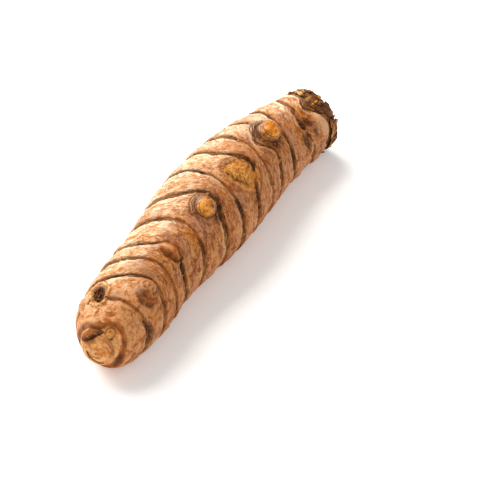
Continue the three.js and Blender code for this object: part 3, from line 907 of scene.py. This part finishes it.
def make_tip_scale():
    """The brown scale that lies across the foot of the stub, with a painted highlight along its
    upper edge and painted shade along its lower edge.
    """
    count, columns = 36, 24
    t = np.linspace(0, 1, count)
    angles = np.radians(mix(56, -18, t))
    sag = np.sin(np.pi * t) ** 0.8
    run = t**1.4
    path = skin_point(mix(1.6, 3.1, run) - 0.35 * sag, angles, mix(4.0, 4.7, run) - 0.3 * sag)
    outward = np.stack([np.full(count, -0.35), np.sin(angles), np.cos(angles)], axis=-1)
    along, out = square_to_path(path, outward)
    across = np.cross(along, out)
    swell = np.sin(np.pi * mix(0.02, 0.98, t**0.75)) ** 0.85
    turn = np.linspace(0, 2 * np.pi, columns, endpoint=False)[None, :, None]
    wide = np.cos(turn) * across[:, None] * (1.6 * swell)[:, None, None]
    thick = np.sin(turn) * out[:, None] * (0.7 * swell)[:, None, None]
    shape = path[:, None] + wide + thick
    folds = 0.22 * noise(shape, 1.3, 69) + 0.1 * noise(shape, 0.5, 70)
    flat, faces = closed_grid(path[:, None] + (wide + thick) * (1 + folds)[..., None])
    piece = make_mesh("tip_scale", flat, faces)
    upper = np.sign(across[0, 0]) * np.cos(turn[..., 0])
    # Painted highlight on the upper edge and painted shade on the lower edge.
    pale = smoothstep(-0.2, 0.6, upper) * bell(t - 0.3, 0.26)[:, None]
    tone = 0.42 + 0.5 * pale - 0.3 * smoothstep(-0.3, -0.9, upper)
    tone = tone - 0.2 * smoothstep(0.45, 0.85, t)[:, None]
    set_mask(piece, "tone", np.concatenate([tone.ravel(), [0.3, 0.3]]))
    return piece


def make_flakes():
    """Torn flakes of papery skin along the near edge of the strips, and loose ones in between."""
    strands = Strands()
    chance = np.random.default_rng(SEED + 1)
    steps = np.linspace(0, 1, FLAKE_POINTS)
    thin = np.full(FLAKE_POINTS, FLAKE_HALF_THICKNESS)
    for ring, stations in zip(RINGS[:-1], STRIPS):
        for angle in chance.uniform(-2.5, 2.5, FLAKES_PER_RING):
            width = float(round_the_root(stations, angle))
            if width < 0.35:
                continue
            start = ring_at(ring, angle) - width - 0.75
            angles = angle + chance.uniform(-0.04, 0.04) * steps
            lifts = -0.04 + chance.uniform(0.1, 0.32) * steps**1.5
            shift = 0.35 + chance.uniform(0.4, 0.55 + 0.3 * width) * steps
            half = chance.uniform(0.15, 0.45) * taper(FLAKE_POINTS, 0.8, 1.6)
            tone = chance.uniform(0.0, 0.55)
            strands.lay(np.full(FLAKE_POINTS, start), angles, lifts, None, half, thin, tone, shift)
    for _ in range(LOOSE_FLAKES):
        length = chance.uniform(0.5, 1.3)
        heading = chance.uniform(-0.5, 0.5)
        places = chance.uniform(4, 90) + length * math.sin(heading) * steps
        angles = chance.uniform(-2.5, 2.5) + length * math.cos(heading) / 10 * steps
        lifts = -0.06 + chance.uniform(0.08, 0.2) * steps**1.6
        half = chance.uniform(0.12, 0.3) * taper(FLAKE_POINTS, 0.6, 2.5)
        tone = chance.uniform(0.3, 1.0)
        strands.lay(places, angles, lifts, LENGTHWISE, half, thin, tone)
    strands.lay_all()
    return strands.make("skin_flakes")


def make_fibres():
    """Dry fibres of old leaf bases in the strips, dark root remains, and a few loose hairs."""
    strands = Strands()
    chance = np.random.default_rng(SEED + 2)
    steps = np.linspace(0, 1, FIBRE_POINTS)
    for ring, stations in zip(RINGS, STRIPS):
        for angle in chance.uniform(-3.1, 3.1, FIBRES_PER_STRIP):
            width = float(round_the_root(stations, angle))
            if width < 0.4:
                continue
            angles = angle + chance.uniform(0.08, 0.32) * steps
            inset = chance.uniform(0.12, 0.85) * width
            places = ring_at(ring, angles) - inset + chance.uniform(-0.15, 0.15) * steps
            thin = chance.uniform(0.05, 0.12) * taper(FIBRE_POINTS, 0.4, 4)
            lift = chance.uniform(-0.02, 0.06)
            strands.lay(places, angles, lift, LENGTHWISE, thin, thin, chance.uniform(0, 1))
    for number, degrees, along, around, _ in DARK:
        for _ in range(FIBRES_PER_REMAIN):
            angle = math.radians(degrees) + chance.uniform(-0.8, 0.5) * around / 10
            angles = angle + chance.uniform(0.05, 0.16) * steps
            inset = 0.4 + chance.uniform(-0.8, 0.8) * along
            places = ring_at(RINGS[number - 1], angles) - inset + chance.uniform(-0.3, 0.3) * steps
            thin = chance.uniform(0.08, 0.17) * taper(FIBRE_POINTS, 0.5, 3)
            lift = chance.uniform(-0.02, 0.1)
            strands.lay(places, angles, lift, LENGTHWISE, thin, thin * 0.8, chance.uniform(0, 0.4))
    for _ in range(LOOSE_HAIRS):
        ring = RINGS[chance.integers(0, len(RINGS))]
        length = chance.uniform(0.9, 1.9)
        start = chance.choice((-1, 1)) * chance.uniform(0.5, 2.1)
        angles = start + length * chance.uniform(-0.08, 0.08) * steps
        places = ring_at(ring, angles) - 0.4 + length * chance.uniform(-0.5, 0.5) * steps
        lifts = -0.1 + length * 0.45 * steps**1.3
        thin = 0.05 * taper(FIBRE_POINTS, 1.0, 3)
        strands.lay(places, angles, lifts, (1.0, 0.1, 0), thin, thin, chance.uniform(0.2, 0.6))
    strands.lay_all()
    return strands.make("strip_fibres")


def make_crown():
    """Ragged scales in layers round the broken end, with a few orange ones."""
    strands = Strands()
    chance = np.random.default_rng(SEED + 3)
    steps = np.linspace(0, 1, CROWN_POINTS)
    for low, high, count in CROWN_LAYERS:
        for angle in chance.uniform(-np.pi, np.pi, count):
            share = chance.uniform(low, high)
            lengthwise = chance.random() < 0.3
            sweep = 0.04 if lengthwise else chance.uniform(0.14, 0.42)
            angles = angle + sweep * steps
            shares = share + (0.32 if lengthwise else chance.uniform(-0.08, 0.08)) * steps
            shares = np.clip(shares, -0.2, 0.93)
            start = ring_at(RINGS[-1], angles)
            inward = (1 - np.clip(shares, 0, 1) ** CAP_SQUARENESS) ** (1 / CAP_SQUARENESS)
            place, radius = cap_at(shares, inward, angles, start)
            lift = chance.uniform(0.05, 0.3) + chance.uniform(0.1, 0.45) * steps**1.5
            path = skin_point(place, angles, radius + lift)
            across = around_at(angles) if lengthwise else np.tile(LENGTHWISE, (CROWN_POINTS, 1))
            half = chance.uniform(0.3, 0.85) * taper(CROWN_POINTS, 0.5, 2.5)
            tone = 2.0 if chance.random() < 0.08 else chance.uniform(0.05, 1.0) ** 1.4
            thick = np.full(CROWN_POINTS, chance.uniform(0.08, 0.16))
            strands.add(path, across, half, thick, tone)
    return strands.make("crown_scales")


skin_piece = make_skin()
knob_pieces = [make_knob(index, row) for index, row in enumerate(KNOBS)]
tip_piece = make_tip_scale()
flake_piece = make_flakes()
fibre_piece = make_fibres()
crown_piece = make_crown()


def linear(hex_colour):
    """Linear red, green, blue and alpha from a screen colour such as c08a5c."""
    values = [int(hex_colour[i : i + 2], 16) / 255 for i in (0, 2, 4)]
    curved = [v / 12.92 if v <= 0.04045 else ((v + 0.055) / 1.055) ** 2.4 for v in values]
    return (*curved, 1.0)


class Material:
    """A material built node by node. Its coordinates are millimetres in the frame."""

    def __init__(self, name):
        self.material = bpy.data.materials.new(name)
        self.material.use_nodes = True
        self.tree = self.material.node_tree
        self.shader = self.tree.nodes["Principled BSDF"]
        self.colour = None
        coordinates = self.tree.nodes.new("ShaderNodeTexCoord")
        self.where = self.vector("MULTIPLY", coordinates.outputs["Object"], (1000, 1000, 1000))

    def follow_rings(self):
        """Swaps X for the distance that follows the rings, so that streaks run along them."""
        parts = self.node("ShaderNodeSeparateXYZ", {0: self.where})
        fields = {"X": self.mask("along"), "Y": parts.outputs[1], "Z": parts.outputs[2]}
        self.where = self.node("ShaderNodeCombineXYZ", fields).outputs[0]

    def feed(self, socket, value):
        if isinstance(value, bpy.types.NodeSocket):
            self.tree.links.new(value, socket)
        else:
            socket.default_value = value

    def node(self, kind, inputs, **settings):
        node = self.tree.nodes.new(kind)
        for key, value in settings.items():
            setattr(node, key, value)
        for key, value in inputs.items():
            self.feed(node.inputs[key], value)
        return node

    def mask(self, name):
        return self.node("ShaderNodeAttribute", {}, attribute_name=name).outputs["Fac"]

    def math(self, operation, a, b):
        return self.node("ShaderNodeMath", {0: a, 1: b}, operation=operation).outputs[0]

    def vector(self, operation, a, b):
        return self.node("ShaderNodeVectorMath", {0: a, 1: b}, operation=operation).outputs[0]

    def times(self, a, b):
        return self.math("MULTIPLY", a, b)

    def stretched(self, grain, location):
        """Coordinates in which a grain given in millimetres along X, Y and Z is one unit wide."""
        fields = {"Vector": self.where, "Location": location, "Scale": tuple(1 / g for g in grain)}
        return self.node("ShaderNodeMapping", fields).outputs[0]

    def noise(self, grain, detail, roughness, seed, distortion=0.0):
        """Noise from 0 to 1 with that grain."""
        fields = {"Vector": self.stretched(grain, (seed, 2 * seed, -seed)), "Scale": 1.0}
        fields.update({"Detail": detail, "Roughness": roughness, "Distortion": distortion})
        return self.node("ShaderNodeTexNoise", fields).outputs["Fac"]

    def crinkle(self, grain, twist, seed):
        """Thin crooked creases, 1 on a crease and 0 off it, round cells of that grain."""
        place = self.stretched(grain, (seed, -seed, 2 * seed))
        fields = {"Vector": place, "Scale": 1.3, "Detail": 3.0}
        bend = self.node("ShaderNodeTexNoise", fields).outputs["Color"]
        place = self.vector("ADD", place, self.vector("MULTIPLY", bend, (twist, twist, twist)))
        fields = {"Vector": place, "Scale": 1.0}
        cells = self.node("ShaderNodeTexVoronoi", fields, feature="DISTANCE_TO_EDGE")
        faded = self.range(self.noise((1.6, 2.2, 2.2), 2.0, 0.5, seed + 3), 0.42, 0.6)
        return self.times(self.range(cells.outputs["Distance"], 0.11, 0.0), faded)

    def range(self, value, low, high, start=0.0, end=1.0):
        fields = {"Value": value, "From Min": low, "From Max": high, "To Min": start, "To Max": end}
        node = self.node("ShaderNodeMapRange", fields, interpolation_type="SMOOTHSTEP")
        return node.outputs["Result"]

    def mix(self, share, a, b):
        node = self.node("ShaderNodeMix", {0: share}, data_type="RGBA")
        for index, colour in ((6, a), (7, b)):
            self.feed(node.inputs[index], linear(colour) if isinstance(colour, str) else colour)
        return node.outputs[2]

    def blend(self, value, a, b, low=0.4, high=0.6):
        """Goes from colour a to colour b as the value goes from low to high."""
        return self.mix(self.range(value, low, high), a, b)

    def paint(self, share, tone, strength=None):
        """Covers the colour so far with the tone, by a share or by the mask of that name."""
        share = self.mask(share) if isinstance(share, str) else share
        share = share if strength is None else self.times(share, strength)
        self.colour = self.mix(share, self.colour, tone)

    def finish(self, roughness, height, strength, distance, gloss=0.12):
        for name, value in (
            ("Specular IOR Level", gloss),
            ("Base Color", self.colour),
            ("Roughness", roughness),
        ):
            self.feed(self.shader.inputs[name], value)
        fields = {"Height": height, "Strength": strength, "Distance": distance}
        self.feed(self.shader.inputs["Normal"], self.node("ShaderNodeBump", fields).outputs[0])
        return self.material


def skin_material():
    m = Material("turmeric_skin")
    m.follow_rings()
    broad = m.noise((6, 6, 6), 2.0, 0.5, 3)
    cloud = m.noise((3.0, 4.2, 4.2), 2.0, 0.5, 81, 0.4)
    patches = m.noise((2.0, 3.0, 3.0), 4.0, 0.6, 11, 0.5)
    mottle = m.noise((0.95, 1.3, 1.3), 4.0, 0.6, 15, 0.7)
    streaks = m.noise((0.4, 1.4, 1.4), 4.0, 0.6, 21, 0.5)
    fine = m.noise((0.3, 0.45, 0.45), 3.0, 0.6, 31)
    specks = m.noise((0.4, 0.4, 0.4), 2.0, 0.5, 41)
    fibre = m.noise((0.22, 1.8, 1.8), 3.0, 0.6, 51)
    crumbs = m.noise((0.5, 0.5, 0.5), 3.0, 0.6, 61)
    along = m.mask("along")
    pale = m.mask("pale")
    crinkle = m.times(m.crinkle((1.2, 1.7, 1.7), 0.6, 71), m.range(along, 9, 22, 0.15, 0.8))
    calm = m.range(along, 8, 20, 0.6, 1.0)

    m.colour = m.blend(broad, "bd6a3a", "c2732a")
    m.paint(m.range(along, 17, 8), "dd9558")
    # Painted light: the lit side gets paler cream colours, and each tone below has a shaded copy and
    # a lit copy, chosen by pale.
    m.paint(pale, m.blend(broad, "dfa97a", "e1a665"), 0.9)
    light_patch = m.mix(pale, "d2945c", "fae2c0")
    dark_patch = m.mix(pale, "78370d", "b26526")
    for value, low, high, strength, tone in (
        (cloud, 0.5, 0.6, 0.75, m.mix(pale, "d8945f", "f8deba")),
        (cloud, 0.47, 0.37, 0.75, m.mix(pale, "84431a", "c08048")),
        (patches, 0.52, 0.62, 0.8, m.mix(pale, "b35f1a", "cf7a28")),
        (patches, 0.48, 0.36, 0.6, m.mix(pale, "945232", "c78e68")),
        (mottle, 0.5, 0.6, 0.85, light_patch),
        (mottle, 0.46, 0.35, 0.7, dark_patch),
        (streaks, 0.53, 0.63, m.times(calm, 0.45), light_patch),
        (streaks, 0.45, 0.35, m.times(calm, 0.42), dark_patch),
    ):
        m.paint(m.range(value, low, high), tone, strength)
    m.paint(crinkle, m.mix(pale, "6f3a17", "a65e24"), 0.45)
    m.paint(m.range(fine, 0.54, 0.66), m.mix(pale, "dca873", "ffedd0"), m.times(calm, 0.5))
    m.paint(m.range(fine, 0.45, 0.34), m.mix(pale, "68300c", "a65c22"), m.times(calm, 0.45))
    m.paint(m.range(specks, 0.63, 0.72), "743d18", 0.5)

    m.paint("mauve", m.blend(streaks, "7d5040", "a97f6b"), 0.6)
    m.paint("rust", m.blend(mottle, "a04c10", "d07c1c"), 0.8)
    # The bud mask is the buds' own brown, with painted shade where the dome and the flat bud turn
    # from the light.
    m.paint("bud", m.blend(patches, "76350a", "b05e1c"), 0.85)
    # The edge mask holds the pale papery edges of the strips, and painted highlights on the buds,
    # the bulges and the highlight spots.
    m.paint("edge", m.mix(pale, "e2b183", "fbe6c4"), 0.65)
    m.paint("stub", m.blend(streaks, "cc7429", "f2b878"), 0.75)
    rough_yellow = m.blend(fine, "b8671a", "e6a650")
    rough_yellow = m.mix(m.times(m.range(mottle, 0.47, 0.37), 0.8), rough_yellow, "8f4c16")
    m.paint("scar", rough_yellow, 0.8)
    m.paint("rim", m.blend(mottle, "c5761f", "f4c67c", 0.42), 0.85)
    m.paint("line", m.blend(patches, "66300b", "9c5316"), 0.9)

    # Painted light: the strip colour has a lit copy and a lighter shaded copy, chosen by pale, to
    # even out the light.
    strip_dark = m.mix(pale, "633411", "4a2408")
    strip = m.blend(fibre, strip_dark, m.mix(pale, "ad7843", "9d683a"), 0.4, 0.62)
    strip = m.mix(m.times(m.range(patches, 0.5, 0.62), 0.5), strip, "8a4d20")
    m.paint("strip", strip, m.range(m.mask("rust"), 0.3, 0.9, 0.88, 0.35))
    m.paint("dark", m.blend(fine, "220e03", "663710", 0.42, 0.64), 0.8)
    m.paint("shadow", "1d0b02", 0.85)
    m.paint("pit", m.blend(fine, "1f0e04", "7a4a20", 0.42, 0.62))

    crust = m.blend(fibre, "1e0f06", "8a5626", 0.36)
    m.paint("crown", m.blend(patches, crust, "c27a22", 0.58, 0.66))
    face = m.blend(crumbs, "6b3f1a", "b87a30", 0.38, 0.64)
    face = m.mix(m.times(m.mask("rust"), 0.6), face, "c9761c")
    face = m.mix(m.times(m.mask("line"), 0.7), face, "4a2a12")
    m.paint("face", face)

    strip_fibre = m.times(fibre, m.mask("strip"))
    height = m.times(streaks, 0.7)
    for value, share in ((fine, 0.5), (mottle, 1.2), (crinkle, -0.2), (strip_fibre, 1.2)):
        height = m.math("ADD", height, m.times(value, share))
    dry = m.math("MAXIMUM", m.mask("strip"), m.math("MAXIMUM", m.mask("pit"), m.mask("crown")))
    sheen = m.range(mottle, 0.35, 0.65, 0.58, 0.38)
    return m.finish(m.math("MAXIMUM", sheen, m.times(dry, 0.85)), height, 0.7, 0.00035)


def knob_material():
    m = Material("bud_skin")
    patches = m.noise((1.1, 1.1, 1.1), 3.0, 0.6, 5)
    fine = m.noise((0.35, 0.35, 0.35), 3.0, 0.6, 15)
    tan = m.blend(patches, "9a5a22", "d19a58", 0.38, 0.62)
    orange = m.mix(m.mask("orange"), tan, m.blend(patches, "a85206", "ee9412", 0.38, 0.62))
    orange = m.mix(m.times(m.range(fine, 0.46, 0.36), 0.5), orange, "efb55a")
    m.colour = m.mix(m.mask("bare"), m.blend(patches, "9c5c26", "cf955a"), orange)
    m.paint("seam", "4a2209", 0.9)
    m.paint(m.range(fine, 0.6, 0.7), "4a260f", 0.85)
    m.paint("spot", "2f1a0b", 0.75)
    m.paint(m.range(m.mask("height"), 0.12, 0.02), "2f1a0c")
    return m.finish(0.34, m.math("ADD", patches, fine), 0.4, 0.0002, 0.35)


def scale_material(name, dark, middle, light):
    """Dry tissue whose colour goes by each strand's tone."""
    m = Material(name)
    tone = m.mask("tone")
    grain = m.noise((0.5, 0.5, 0.5), 3.0, 0.6, 7)
    fine = m.noise((0.25, 0.35, 0.35), 3.0, 0.6, 17)
    m.colour = m.blend(tone, dark, middle, 0.0, 0.55)
    m.paint(m.range(tone, 0.55, 1.0), light)
    m.paint(m.range(tone, 1.2, 1.6), "cf7f1c")
    m.paint(m.range(grain, 0.5, 0.36), dark, 0.6)
    m.paint(m.range(fine, 0.54, 0.66), light, 0.4)
    return m.finish(0.7, grain, 0.5, 0.0002)


skin_piece.data.materials.append(skin_material())
knob_finish = knob_material()
for piece in knob_pieces:
    piece.data.materials.append(knob_finish)
for piece, name, *tones in (
    (tip_piece, "tip_scale_skin", "3a1a08", "94521d", "dfa468"),
    (flake_piece, "torn_skin", "8f5425", "bd8148", "e0b67f"),
    (fibre_piece, "dry_fibre", "331b0d", "7a4d2c", "b08558"),
    (crown_piece, "crown_scale", "2a140a", "8c522a", "dba968"),
):
    piece.data.materials.append(scale_material(name, *tones))

for piece in [skin_piece, *knob_pieces, tip_piece, flake_piece, fibre_piece, crown_piece]:
    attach(piece, "root")
    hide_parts("turmeric_root")


# Floor, light and camera.
FLOOR_HALF = 1200
FLOOR_GLOW = 0.22
CAMERA_AIM = (-0.00191, -0.0115, 0.00927)
CAMERA_BACK = (-0.6584, -0.3915, 0.6428)
CAMERA_DISTANCE = 0.54
CAMERA_LENS = 184.5

# Soft square lights that point at the root: name, direction, distance, size, power and colour.
LIGHTS = [
    ("key", (0.3, 1.25, 1.35), 0.9, 0.8, 14.5, (1.0, 0.98, 0.95)),
    ("fill", (-0.6, -1.1, 1.2), 1.2, 1.2, 3.0, (1, 1, 1)),
]
WORLD_STRENGTH = 0.42
WHITE = (1, 1, 1, 1)


def place_behind(holder, back, distance, aim=(0, 0, 0)):
    """Stands a light or a camera off from what it points at, in the direction back from it."""
    back = Vector(back).normalized()
    holder.location = Vector(aim) + back * distance
    holder.rotation_euler = back.to_track_quat("Z", "Y").to_euler()
    bpy.context.scene.collection.objects.link(holder)


def make_floor():
    corners = [(-1, -1, 0), (1, -1, 0), (1, 1, 0), (-1, 1, 0)]
    floor = make_mesh("floor", np.array(corners) * FLOOR_HALF, [(0, 1, 2, 3)])
    m = Material("pale_floor")
    grain = m.noise((30, 30, 30), 2.0, 0.5, 1)
    m.colour = m.blend(grain, "f4f3f1", "f7f6f5", 0.3, 0.7)
    m.shader.inputs["Emission Color"].default_value = WHITE
    m.shader.inputs["Emission Strength"].default_value = FLOOR_GLOW
    floor.data.materials.append(m.finish(0.9, grain, 0.02, 0.0001))


def make_light(name, direction, distance, size, power, colour):
    lamp = bpy.data.lights.new(name, "AREA")
    lamp.size = size
    lamp.energy = power
    lamp.color = colour
    place_behind(bpy.data.objects.new(name, lamp), direction, distance)


def make_camera():
    camera = bpy.data.cameras.new("camera")
    camera.lens = CAMERA_LENS
    camera.clip_start = 0.01
    holder = bpy.data.objects.new("camera", camera)
    place_behind(holder, CAMERA_BACK, CAMERA_DISTANCE, CAMERA_AIM)
    bpy.context.scene.camera = holder


def make_world():
    world = bpy.data.worlds.new("studio")
    world.use_nodes = True
    background = world.node_tree.nodes["Background"]
    background.inputs["Color"].default_value = WHITE
    background.inputs["Strength"].default_value = WORLD_STRENGTH
    bpy.context.scene.world = world


make_floor()
for light in LIGHTS:
    make_light(*light)
make_camera()
make_world()
bpy.context.scene.view_settings.view_transform = "Standard"
